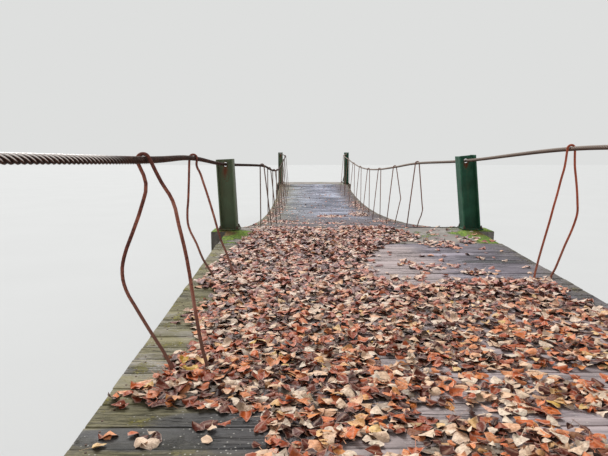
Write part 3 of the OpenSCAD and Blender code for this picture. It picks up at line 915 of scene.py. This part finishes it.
def ring_centres(node, gap=0.012):
    """The centre line of a round bar that runs along Y, from the rings of its CAD solid."""
    corners = sorted((tuple(v.co) for v in frame["nodes"][node].data.vertices), key=lambda c: c[1])
    rings = [[corners[0]]]
    for corner in corners[1:]:
        if corner[1] - rings[-1][-1][1] > gap:
            rings.append([])
        rings[-1].append(corner)
    line = []
    for ring in rings:
        low, high = (Vector(map(end, zip(*ring))) for end in (min, max))
        line.append((low + high) / 2)
    return line


def nearest(line, y):
    """The point of a line that is nearest to a place along the bridge."""
    return min(line, key=lambda point: abs(point.y - y))


rope_line = {side: ring_centres("hand_rope_" + side) for side in SIDES}
plate_bolt = bolt("plate_bolt", across=0.03, height=0.02, stud=0.045)
bolts = []
for where, side in POSTS:
    node = where + "_post_" + side
    low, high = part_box(node)
    foot_y = (low.y + high.y) / 2
    hole = nearest(rope_line[side], foot_y)
    plate = [v.co.x for v in frame["nodes"][node].data.vertices if v.co.z < low.z + 0.001]
    foot_x = (min(plate) + max(plate)) / 2
    post = solid_of(node, node + "_painted")
    soft_edges(post, width=0.0025)
    cut_in_grid(post, pitch=0.05)
    rust_below(post, hole, wide=0.09, long=0.32 if side == "left" else 0.15)
    hand_in(post, post_coats[side], "post_paint", node)
    reach = PLATE_HALF - BOLT_IN
    for x in (-reach, reach):
        for y in (-reach, reach):
            spot = (foot_x + x, foot_y + y, low.z + PLATE_TOP)
            bolts.append(another(plate_bolt, spot, (0, 0, chance.uniform(0, 1))))
removed(plate_bolt)


# Anchors and sockets: behind the end posts each rope ends in a forged socket whose eye turns on
# a pin between two cheek plates. The brackets are painted like the posts and bolted down.
anchor_coat = finish("green_anchor_paint", green_paint, faded=0.1, rust_share=0.12)
FOOT_BOLT_IN = 0.03


def forged_steel(tree):
    scale = tree.place().noise(40, detail=6, rough=0.65)
    blotch = tree.place().noise(9)
    brown = (0.3, 58, 42, 36), (0.55, 98, 66, 50), (0.75, 142, 92, 60)
    return {
        "Base Color": (scale + blotch * 0.4 - 0.2).ramp(*brown),
        "Metallic": 0.25,
        "Roughness": 0.7 + scale * 0.2,
        "Normal": tree.bump(scale, distance=0.0025),
    }


forged = finish("forged_steel", forged_steel)
foot_bolt = bolt("foot_bolt", across=0.034, height=0.022, stud=0.05)
for end in ("near", "far"):
    for side in SIDES:
        node = end + "_anchor_" + side
        low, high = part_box(node)
        bracket = solid_of(node, node + "_painted")
        soft_edges(bracket, width=0.002)
        mark(bracket, "rust", 0.3)
        hand_in(bracket, anchor_coat, "anchor_paint", node)
        for x in (low.x + FOOT_BOLT_IN, high.x - FOOT_BOLT_IN):
            for y in (low.y + FOOT_BOLT_IN, high.y - FOOT_BOLT_IN):
                bolts.append(another(foot_bolt, (x, y, low.z + PLATE_TOP)))
        node = end + "_socket_" + side
        socket = solid_of(node, node + "_forged")
        soft_edges(socket, width=0.003, sharp=40)
        hand_in(socket, forged, "sockets", node)
removed(foot_bolt)
hand_in(joined("anchor_bolts", bolts), iron)


# Hand ropes: six-strand wire rope laid right-handed round a core, 44 mm thick, drawn from anchor
# to anchor through the posts. Near the camera its upper side is rubbed pale and carries a painted
# highlight; the rest is dark rust.
STRANDS = 6
POINTS_A_STRAND = 5
STRAND_DEPTH = 0.24
LAY = 0.23
RINGS_IN_A_LAY = 10
ROPE_RADIUS = 0.022
# The rope's top is rubbed bright and given a painted highlight up to the first place, and it is
# dark again from the second place on
TOP_PALE_FROM = PIER_Y - 5.65
TOP_PALE_TO = PIER_Y - 5.15


def rusty_rope(tree):
    here = tree.place()
    crest = tree.mark("crest")
    grain = here.noise(70, detail=5, rough=0.7)
    blotch = here.noise(6, detail=5, rough=0.6)
    right = here.axis("X").rise(-0.5, 0.5)
    bright = here.axis("Y").rise(TOP_PALE_TO, TOP_PALE_FROM)
    # Painted highlight: the rope's upper side and its strand crests are lightened as if lit from
    # above
    lit = (tree.facing_up() * 0.8 + crest * 0.6).rise(0.2, 0.7)
    rubbed_and_highlit = lit * (bright * 0.95 + grain.rise(0.45, 0.65) * 0.08)
    rust = (0.38, 30, 17, 12), (0.55, 64, 37, 26), (0.74, 104, 66, 47)
    return {
        "Base Color": tree.coats(
            (grain * 0.6 + blotch * 0.5).ramp(*rust),
            (right * 0.3, (150, 130, 114)),
            # Near-white on the top near the camera: rubbed wear and a painted highlight
            (rubbed_and_highlit, (255, 246, 240)),
            # A painted highlight along the top of the right rope
            (right * lit * 0.34, (206, 186, 170)),
            # Painted shade: the hollows between the strands are darkened nearly to black, a little
            # less on the lit top near the camera
            ((1 - crest) * (0.92 - rubbed_and_highlit * 0.35), (24, 15, 12)),
        ),
        "Metallic": 0.2,
        "Roughness": 0.7 - rubbed_and_highlit * 0.3,
        "Specular IOR Level": 0.25,
        "Normal": tree.bump(grain, distance=0.0015),
    }


def straight_rope(length):
    """A rope laid straight along Z: a ring of six lobes drawn up and twisted."""
    bpy.ops.mesh.primitive_circle_add(vertices=STRANDS * POINTS_A_STRAND, radius=ROPE_RADIUS)
    rope = bpy.context.object
    depth = []
    for point in rope.data.vertices:
        angle = math.atan2(point.co.y, point.co.x)
        hollow = abs(math.sin(STRANDS / 2 * angle)) ** 4
        depth.append(1 - hollow)
        point.co *= 1 - STRAND_DEPTH * hollow
    mark(rope, "crest", depth)
    turns = length / LAY
    rings = round(turns * RINGS_IN_A_LAY)
    shaped(rope, "SCREW", axis="Z", angle=math.tau * turns, screw_offset=length, steps=rings)
    return rope


def smooth_line(name, points, steps=6):
    """A curve through points."""
    line = bpy.data.curves.new(name, "CURVE")
    line.dimensions = "3D"
    line.resolution_u = steps
    spline = line.splines.new("BEZIER")
    spline.bezier_points.add(len(points) - 1)
    for bend, point in zip(spline.bezier_points, points):
        bend.co = point
        bend.handle_left_type = bend.handle_right_type = "AUTO"
    curve = bpy.data.objects.new(name, line)
    bpy.context.collection.objects.link(curve)
    return curve


rope_rust = finish("rusty_rope", rusty_rope)
for side in SIDES:
    node = "hand_rope_" + side
    line = smooth_line("rope_line", rope_line[side])
    rope = straight_rope(line.data.splines[0].calc_length())
    rope.name = node + "_laid"
    shaped(rope, "CURVE", object=line, deform_axis="POS_Z")
    with edit_mode(rope):
        bpy.ops.mesh.normals_make_consistent(inside=False)
    removed(line)
    hand_in(rope, rope_rust, "wire_rope", node)


# Hangers: 22 mm round bar looped over the rope. The two legs come down through the slot between
# the leaves of a crossbeam and end in nuts on square washers. Some are badly bent.
ROD_RADIUS = 0.011
LOOP_RADIUS = 0.035
LOOP_STEPS = 8
LAST_BEND = 0.025
WASHER = 0.1
WASHER_THICK = 0.012
NUT_ACROSS = 0.034
NUT_HIGH = 0.018
ROD_END = 0.012
# The slot's middle lies this far on the near side of the joint between two bays of the deck
SLOT_BEFORE_JOINT = 0.015
# A leg is straight in the slot between these depths under the deck's top
SLOT_DEPTHS = (0.12, 0.04)
# No crossbeam reaches further than this from its slot
BEAM_HALF = 0.15
# A straight longer than this gets a point this far from each end, so that it stays straight
LONG_STRAIGHT = 0.45
HOLD = 0.1
ROD_PLAY = 0.003
DRILL_LONG = 0.16
EDGE = deck_width / 2
OUTWARD = {"left": -1, "right": 1}
# Legs from the rope down, as (out from the edge of the deck, height above the deck)
BENT_LEGS = {
    ("left", 1): (
        [
            (-0.011, 0.973), (0.001, 0.775), (0.013, 0.64), (0.004, 0.52), (-0.066, 0.36),
            (-0.126, 0.203), (-0.177, 0.115), (-0.224, LAST_BEND),
        ],
        [
            (-0.088, 1.104), (-0.121, 1.03), (-0.147, 0.945), (-0.172, 0.867), (-0.242, 0.62),
            (-0.303, 0.392), (-0.359, 0.25), (-0.405, 0.09), (-0.419, LAST_BEND),
        ],
    ),
    ("left", 2): (
        [
            (-0.18, 1.139), (-0.148, 1.003), (-0.092, 0.855), (-0.036, 0.71), (-0.021, 0.61),
            (-0.04, 0.51), (-0.087, 0.416), (-0.176, 0.253), (-0.272, 0.082), (-0.291, LAST_BEND),
        ],
        [
            (-0.268, 1.148), (-0.33, 1.04), (-0.361, 0.9), (-0.401, 0.705), (-0.439, 0.415),
            (-0.48, 0.146), (-0.508, LAST_BEND),
        ],
    ),
    ("right", 1): (
        [
            (0.025, 1.103), (0.044, 0.985), (0.062, 0.865), (0.074, 0.75), (0.08, 0.66),
            (0.067, 0.585), (0.027, 0.456), (-0.019, 0.338), (-0.063, 0.21), (-0.1, 0.105),
            (-0.135, LAST_BEND),
        ],
        [
            (-0.072, 1.09), (-0.098, 0.975), (-0.126, 0.834), (-0.153, 0.715), (-0.185, 0.562),
            (-0.211, 0.452), (-0.246, 0.3), (-0.279, 0.146), (-0.3, LAST_BEND),
        ],
    ),
}
PLAIN_LEGS = ([(-0.04, 0.8), (-0.23, LAST_BEND)], [(-0.18, 0.8), (-0.41, LAST_BEND)])
MAIN_LEGS = ([(-0.315, LAST_BEND)], [(-0.52, LAST_BEND)])
# The outer leg of each bowed hanger of the main span, counted from the pier
BOWED_LEGS = {
    ("right", 1): [(-0.224, 0.33), (-0.315, LAST_BEND)],
    ("right", 2): [(-0.195, 0.6), (-0.315, LAST_BEND)],
}


def rusty_rod(tree):
    here = tree.place()
    grain = here.noise(55, detail=6, rough=0.68)
    blotch = here.noise((9.6, 9.6, 4), detail=5, rough=0.6)
    low = 1 - tree.mark("height").rise(0.1, 0.7)
    fresh = here.axis("X").rise(-0.5, 0.5) * (1 - low * 0.5)
    far = here.axis("Y").rise(PIER_Y, PIER_Y + 1)
    rust = (0.38, 66, 36, 33), (0.5, 120, 68, 57), (0.62, 178, 112, 92)
    return {
        "Base Color": tree.coats(
            (grain * 0.55 + blotch * 0.55).ramp(*rust),
            (low * 0.7, (134, 106, 94)),
            (blotch.rise(0.54, 0.68) * 0.5, (200, 150, 136)),
            (fresh * (grain * 1.5 - 0.15), (208, 106, 72)),
            (far * 0.6, (136, 126, 116)),
        ),
        "Metallic": 0.2,
        "Roughness": 0.68 + grain * 0.2,
        "Normal": tree.bump(grain, distance=0.0012),
    }


def leave_angle(centre, point, way):
    """Where a leg from a point leaves the loop round the rope."""
    dx, dz = point[0] - centre[0], point[1] - centre[1]
    return math.atan2(dz, dx) + way * math.acos(LOOP_RADIUS / math.hypot(dx, dz))


def long_runs(points):
    """Points with two more on each long straight, near its ends, so that it stays straight."""
    kept = [points[0]]
    for a, b in zip(points, points[1:]):
        run = math.hypot(b[0] - a[0], b[1] - a[1])
        if run > LONG_STRAIGHT:
            for reach in (HOLD / run, 1 - HOLD / run):
                kept.append((a[0] + (b[0] - a[0]) * reach, a[1] + (b[1] - a[1]) * reach))
        kept.append(b)
    return kept


def beam_foot(node, y):
    """How far down a crossbeam at a place reaches."""
    points = [v.co for v in frame["nodes"][node].data.vertices]
    return min(point.z for point in points if abs(point.y - y) < BEAM_HALF)


def hanger(span, side, joint, legs):
    """One bent rod with its two washers and nuts, at a joint between two bays of a deck."""
    way = OUTWARD[side]
    y, deck_z = joint[0] - SLOT_BEFORE_JOINT, joint[1]
    under_z = beam_foot(span + "_crossbeams", y)
    rope_point = nearest(rope_line[side], y)
    rope = (way * rope_point.x, rope_point.z)
    out_leg, in_leg = ([(EDGE + out, deck_z + up) for out, up in leg] for leg in legs)
    start = leave_angle(rope, out_leg[0], 1)
    stop = math.tau + leave_angle(rope, in_leg[0], -1)
    loop = []
    for step in range(LOOP_STEPS + 1):
        turn = start + (stop - start) * step / LOOP_STEPS
        round_rope = (LOOP_RADIUS * math.cos(turn), LOOP_RADIUS * math.sin(turn))
        loop.append((rope[0] + round_rope[0], rope[1] + round_rope[1]))
    end_z = under_z - WASHER_THICK - NUT_HIGH - ROD_END
    levels = (end_z, *(deck_z - depth for depth in SLOT_DEPTHS))
    out_foot, in_foot = ([(leg[-1][0], z) for z in levels] for leg in (out_leg, in_leg))
    path = [*out_foot, *out_leg[::-1], *loop, *in_leg, *in_foot[::-1]]
    rod = smooth_line("rod", [(way * out, y, z) for out, z in long_runs(path)], steps=3)
    rod.data.bevel_depth = ROD_RADIUS
    rod.data.bevel_resolution = 2
    rod.data.use_fill_caps = True
    pick(rod)
    bpy.ops.object.convert(target="MESH")
    rod = bpy.context.object
    mark(rod, "height", [point.co.z - deck_z for point in rod.data.vertices])
    pieces = [rod]
    for out in (out_leg[-1][0], in_leg[-1][0]):
        holes[span].append((way * out, y, deck_z))
        foot = another(hanger_foot, (way * out, y, under_z))
        mark(foot, "height", -0.3)
        pieces.append(foot)
    return pieces


def hand_in_rods(node, ending, rods):
    """Joins the pieces of one or more hangers and hands them in."""
    whole = joined(node + ending, rods)
    smooth(whole, 50)
    hand_in(whole, rod_rust, "hanger_rods", node)


def notch_boards(deck, spots):
    """Cuts the boards beside a slot round the rods that come up through it."""
    radius = ROD_RADIUS + ROD_PLAY
    drills = [upright(radius, DRILL_LONG, (x, y, z - 0.03), 14) for x, y, z in spots]
    drill = joined("drill", drills)
    shaped(deck, "BOOLEAN", object=drill, operation="DIFFERENCE", solver="EXACT")
    removed(drill)


bpy.ops.mesh.primitive_cube_add(size=1)
washer = bpy.context.object
applied(washer, (0, 0, -WASHER_THICK / 2), (WASHER, WASHER, WASHER_THICK))
soft_edges(washer, width=0.002)
nut = upright(NUT_ACROSS / math.sqrt(3), NUT_HIGH, (0, 0, -WASHER_THICK - NUT_HIGH / 2), 6)
soft_edges(nut, width=0.0015)
hanger_foot = joined("hanger_foot", [washer, nut])

rod_rust = finish("rusty_rod", rusty_rod)
near_joints = [bay[0] for bay in deck_bays("near_deck")[1:]][::-1]
main_joints = [bay[0] for bay in deck_bays("main_deck")[1:]]
holes = {"near": [], "main": []}
for side in OUTWARD:
    for number, joint in enumerate(near_joints, start=1):
        legs = BENT_LEGS.get((side, number), PLAIN_LEGS)
        hand_in_rods(f"near_hanger_{side}_{number}", "_rod", hanger("near", side, joint, legs))
    rods = []
    for number, joint in enumerate(main_joints, start=1):
        legs = (BOWED_LEGS.get((side, number), MAIN_LEGS[0]), MAIN_LEGS[1])
        rods += hanger("main", side, joint, legs)
    hand_in_rods("main_hangers_" + side, "_rods", rods)
removed(hanger_foot)
notch_boards(near_boards, holes["near"])
notch_boards(main_boards, holes["main"])


# Fallen leaves: a dry layer blown over the near deck, thin drifts on the far one. Each leaf is a
# blade cupped and curled as it dried, some with a stalk. They lie loose, in pieces of their own.
LEAF_ROWS = 4
LEAF_COLUMNS = 4
LEAF_LONG = 0.07
# The smallest and the largest leaf, as shares of that length
LEAF_SIZES = (0.62, 1.42)
# The share of leaves that lie face up
FACE_UP = 0.55
LEAF_LEAN = 0.36
LEAF_CLEAR = 0.004
STALK_LONG = 0.06
STALK_WIDE = 0.0024
SHEET_PITCH = 0.05
SHEET_MARGIN = 0.1
# How high the leaves lie, how much more on the near deck and how much more where it is heaped
LAYER_HIGH = 0.008
MORE_ON_NEAR_DECK = 0.01
MORE_IN_HEAP = 0.03
HEAPS = ((-1.45, -4.85, 0.5, 0.4), (1.3, -3.2, 0.6, 0.4), (-1.3, -3.0, 0.5, 0.6))
ROWS_AT = (0, 0.12, 0.4, 0.74, 1)
# Half widths of each kind at these rows, as shares of its length; then how much it is cupped,
# how much its rim turns up, how far it is curled along its length, and whether its stalk is on
LEAF_KINDS = (
    ((0.10, 0.38, 0.50, 0.30, 0.03), 0.08, 0.2, 0.3, False),
    ((0.16, 0.46, 0.48, 0.24, 0.02), -0.12, -0.2, 0.45, False),
    ((0.08, 0.28, 0.40, 0.26, 0.02), 0.2, 0.3, -0.5, True),
    ((0.14, 0.36, 0.50, 0.34, 0.04), -0.08, 0.4, 0.7, False),
    ((0.10, 0.44, 0.46, 0.20, 0.02), 0.1, -0.2, 0.3, True),
    ((0.12, 0.34, 0.44, 0.34, 0.05), 0.4, 0.3, 1.2, False),
    ((0.14, 0.44, 0.50, 0.26, 0.03), 0.05, 0.5, -0.3, False),
    ((0.10, 0.34, 0.42, 0.28, 0.03), 0.5, -0.1, 0.3, True),
)


def leaf_blade(name, half_widths, cup, rim, curl, stalk):
    """A dry leaf lying along Y: a grid cupped about its rib, turned up at its rim and curled."""
    bpy.ops.mesh.primitive_grid_add(x_subdivisions=LEAF_COLUMNS, y_subdivisions=LEAF_ROWS, size=1)
    blade = bpy.context.object
    ribs = []
    for point in blade.data.vertices:
        row = round((point.co.y + 0.5) * LEAF_ROWS)
        side = 2 * point.co.x
        out = abs(side)
        reach = half_widths[row] * LEAF_LONG * (1 + out * chance.uniform(-0.16, 0.16))
        ribs.append(out)
        point.co = (
            side * reach,
            (ROWS_AT[row] - 0.5 + chance.uniform(-0.05, 0.05) * out) * LEAF_LONG,
            reach * (out * cup + out**4 * rim) + out * chance.uniform(-0.004, 0.004),
        )
    mark(blade, "rib", ribs)
    if stalk:
        bpy.ops.mesh.primitive_plane_add(size=1)
        stem = bpy.context.object
        stem.scale = (STALK_WIDE, STALK_LONG, 1)
        stem.location = (0, -(LEAF_LONG + STALK_LONG) / 2 + STALK_WIDE, 0)
        mark(stem, "rib", 0)
        blade = joined(name, [blade, stem])
    shaped(blade, "SIMPLE_DEFORM", deform_method="BEND", deform_axis="X", angle=curl)
    pick(blade)
    bpy.ops.object.shade_smooth()
    blade.name = name
    return blade


leaf_kinds = bpy.data.collections.new("leaf_kinds")
bpy.context.scene.collection.children.link(leaf_kinds)
for number, kind in enumerate(LEAF_KINDS):
    blade = leaf_blade(f"leaf_{number}", *kind)
    for holder in list(blade.users_collection):
        holder.objects.unlink(blade)
    leaf_kinds.objects.link(blade)


def strew(tree, leaves_a_metre, seed):
    """Leaves over a sheet: thicker where its cover is high, lifted where they are heaped."""
    group = tree.tree
    group.interface.new_socket("Sheet", in_out="INPUT", socket_type="NodeSocketGeometry")
    group.interface.new_socket("Leaves", in_out="OUTPUT", socket_type="NodeSocketGeometry")

    def kept(name):
        return tree.node("GeometryNodeInputNamedAttribute", {"Name": name}, data_type="FLOAT")

    def any_of(low, high, draw):
        values = {2: low, 3: high, "Seed": seed + draw}
        return tree.node("FunctionNodeRandomValue", values, out=1, data_type="FLOAT")

    density = kept("cover") * leaves_a_metre
    points = tree.node(
        "GeometryNodeDistributePointsOnFaces",
        {"Mesh": tree.node("NodeGroupInput"), "Density": density, "Seed": seed},
        distribute_method="RANDOM",
    )
    lean = any_of(-1, 1, 1)
    roll = any_of(-1, 1, 2)
    lean = lean * abs(lean) * LEAF_LEAN
    roll = roll * abs(roll) * LEAF_LEAN
    turned_over = any_of(0, 1, 3).maths("GREATER_THAN", FACE_UP) * math.pi
    depth = kept("heap") * kept("cover")
    lift = depth * any_of(0, 1, 5) + (abs(lean) + abs(roll)) * (LEAF_LONG / 3) + LEAF_CLEAR
    up = tree.node("ShaderNodeCombineXYZ", {2: lift})
    points = tree.node("GeometryNodeSetPosition", {"Geometry": points, "Offset": up})
    turns = {0: lean, 1: roll + turned_over, 2: any_of(0, math.tau, 6)}
    kinds = {"Collection": leaf_kinds, "Separate Children": True, "Reset Children": True}
    leaves = tree.node(
        "GeometryNodeInstanceOnPoints",
        {
            "Points": points,
            "Instance": tree.node("GeometryNodeCollectionInfo", kinds),
            "Pick Instance": True,
            "Rotation": tree.node("ShaderNodeCombineXYZ", turns),
            "Scale": any_of(*LEAF_SIZES, 7),
        },
    )
    # Leaves low in a thick heap are marked to be darkened: they are damp, and they get painted
    # shade from the leaves above
    buried = kept("cover") * (1 - any_of(0, 1, 5))
    for name, value in (("tint", any_of(0, 1, 8)), ("buried", buried)):
        leaves = tree.node(
            "GeometryNodeStoreNamedAttribute",
            {"Geometry": leaves, "Name": name, "Value": value},
            data_type="FLOAT",
            domain="INSTANCE",
        )
    tree.node("NodeGroupOutput", {0: tree.node("GeometryNodeRealizeInstances", {0: leaves})})


def dry_leaf(tree):
    rib = tree.mark("rib")
    here = tree.place()
    mottle = here.noise(90, detail=5, rough=0.65)
    flush = here.noise(34, detail=3, rough=0.6)
    fold = here.noise(40, detail=3, rough=0.5, twist=0.6)
    # Painted sheen: leaves further along the near deck are paled towards pink-white, for the sky's
    # glint at a grazing angle
    far_sheen = here.axis("Y").rise(PIER_Y - 4.8, PIER_Y - 2.4)
    autumn = tree.mark("tint").ramp(
        (0.0, 32, 13, 10),
        (0.2, 102, 38, 18),
        (0.33, 170, 72, 32),
        (0.43, 224, 116, 62),
        (0.52, 255, 168, 112),
        (0.62, 255, 212, 172),
        (0.89, 255, 238, 214),
        (0.9, 230, 106, 40),
        (0.95, 244, 150, 72),
        (0.98, 252, 206, 140),
        (0.993, 252, 214, 150),
        (1.0, 244, 196, 60),
    )
    return {
        "Base Color": tree.coats(
            autumn,
            (far_sheen * 0.24, (255, 226, 234)),
            (flush.rise(0.58, 0.42) * 0.32, (120, 60, 42)),
            (mottle.rise(0.52, 0.76) * 0.3, (78, 38, 32)),
            (rib.rise(0.3, 0.0) * 0.3, (232, 190, 160)),
            # Painted highlight along the rim of each leaf
            (rib.rise(0.7, 1.0) * 0.4, (255, 226, 208)),
            # Painted shade and damp: leaves low in the heap are darkened nearly to black
            (tree.mark("buried").rise(0.4, 0.92) * 0.92, (28, 14, 12)),
        ),
        "Roughness": 0.36 + mottle * 0.2,
        "Specular IOR Level": 0.22,
        "Normal": tree.bump(fold + mottle * 0.12, distance=0.016, strength=0.6),
    }


def leaf_sheet(line):
    """A flat sheet that follows the top of a deck, for leaves to be strewn on."""
    ys, zs = (np.array(values) for values in zip(*line))
    long = ys[-1] - ys[0]
    rows = round(long / SHEET_PITCH)
    across = round(deck_width / SHEET_PITCH)
    bpy.ops.mesh.primitive_grid_add(x_subdivisions=across, y_subdivisions=rows, size=1)
    sheet = bpy.context.object
    applied(sheet, (0, (ys[0] + ys[-1]) / 2, 0), (deck_width - SHEET_MARGIN, long, 1))
    for point in sheet.data.vertices:
        point.co.z = np.interp(point.co.y, ys, zs)
    return sheet


def strew_leaves(name, line, stretch, leaves_a_metre, seed):
    """Strews one piece of the litter on a deck between two stations."""
    sheet = leaf_sheet(line)
    x, station = places(sheet)
    within = (station >= stretch[0]) & (station < stretch[1])
    high = LAYER_HIGH + MORE_ON_NEAR_DECK * (station < 0)
    for spot in HEAPS:
        high = high + MORE_IN_HEAP * patch(x, station, *spot)
    mark(sheet, "cover", litter_cover(x, station) * within)
    mark(sheet, "heap", high)
    group = bpy.data.node_groups.new("strewn_leaves", "GeometryNodeTree")
    strew(Tree(group), leaves_a_metre, seed)
    shaped(sheet, "NODES", node_group=group)
    sheet.name = name
    hand_in(sheet, dead_leaves)


dead_leaves = finish("dead_leaves", dry_leaf)
near_line, main_line = (
    [point for bay in deck_bays(node) for point in bay] for node in ("near_deck", "main_deck")
)
# The near sheet reaches so far on to the abutment, and up to this station on the pier
ON_ABUTMENT = 0.6
ON_PIER = 0.18
near_line.insert(0, (near_line[0][0] - ON_ABUTMENT, near_line[0][1]))
near_line.append((PIER_Y + ON_PIER, PIER_TOP))
for name, line, stretch, leaves_a_metre, seed in (
    ("fallen_leaves_end", near_line, (-9.3, -6.2), 480, 3),
    ("fallen_leaves_middle", near_line, (-6.2, -3.6), 640, 12),
    ("fallen_leaves_pier", near_line, (-3.6, 0.3), 600, 21),
    ("fallen_leaves_main", main_line, (0.12, 30), 620, 41),
):
    strew_leaves(name, line, stretch, leaves_a_metre, seed)
for blade in list(leaf_kinds.objects):
    removed(blade)
bpy.data.collections.remove(leaf_kinds)
